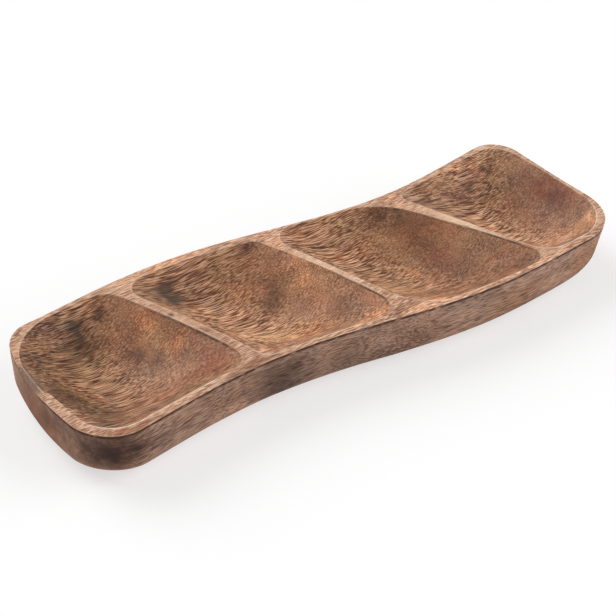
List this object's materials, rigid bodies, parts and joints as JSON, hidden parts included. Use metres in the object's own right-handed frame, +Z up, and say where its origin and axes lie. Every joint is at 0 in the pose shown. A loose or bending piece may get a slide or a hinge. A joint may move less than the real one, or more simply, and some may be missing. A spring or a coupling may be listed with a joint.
{
  "type": "divided serving tray",
  "caption": "Long wave-shaped serving tray carved from one block of wood, with slanted dividers between scooped bowls and a rolled lower edge.",
  "frame": {"origin": "the point under the middle of the tray's outline, on the surface that it stands on", "axes": "+X runs along the tray, towards the wider end; +Y runs across it; +Z is up"},
  "size_m": [0.4794, 0.165, 0.045],
  "materials": {
    "oiled_wood": "oiled, sanded along the rim"
  },
  "bodies": {
    "root": {"carved_body": "oiled_wood"}
  },
  "joints": []
}
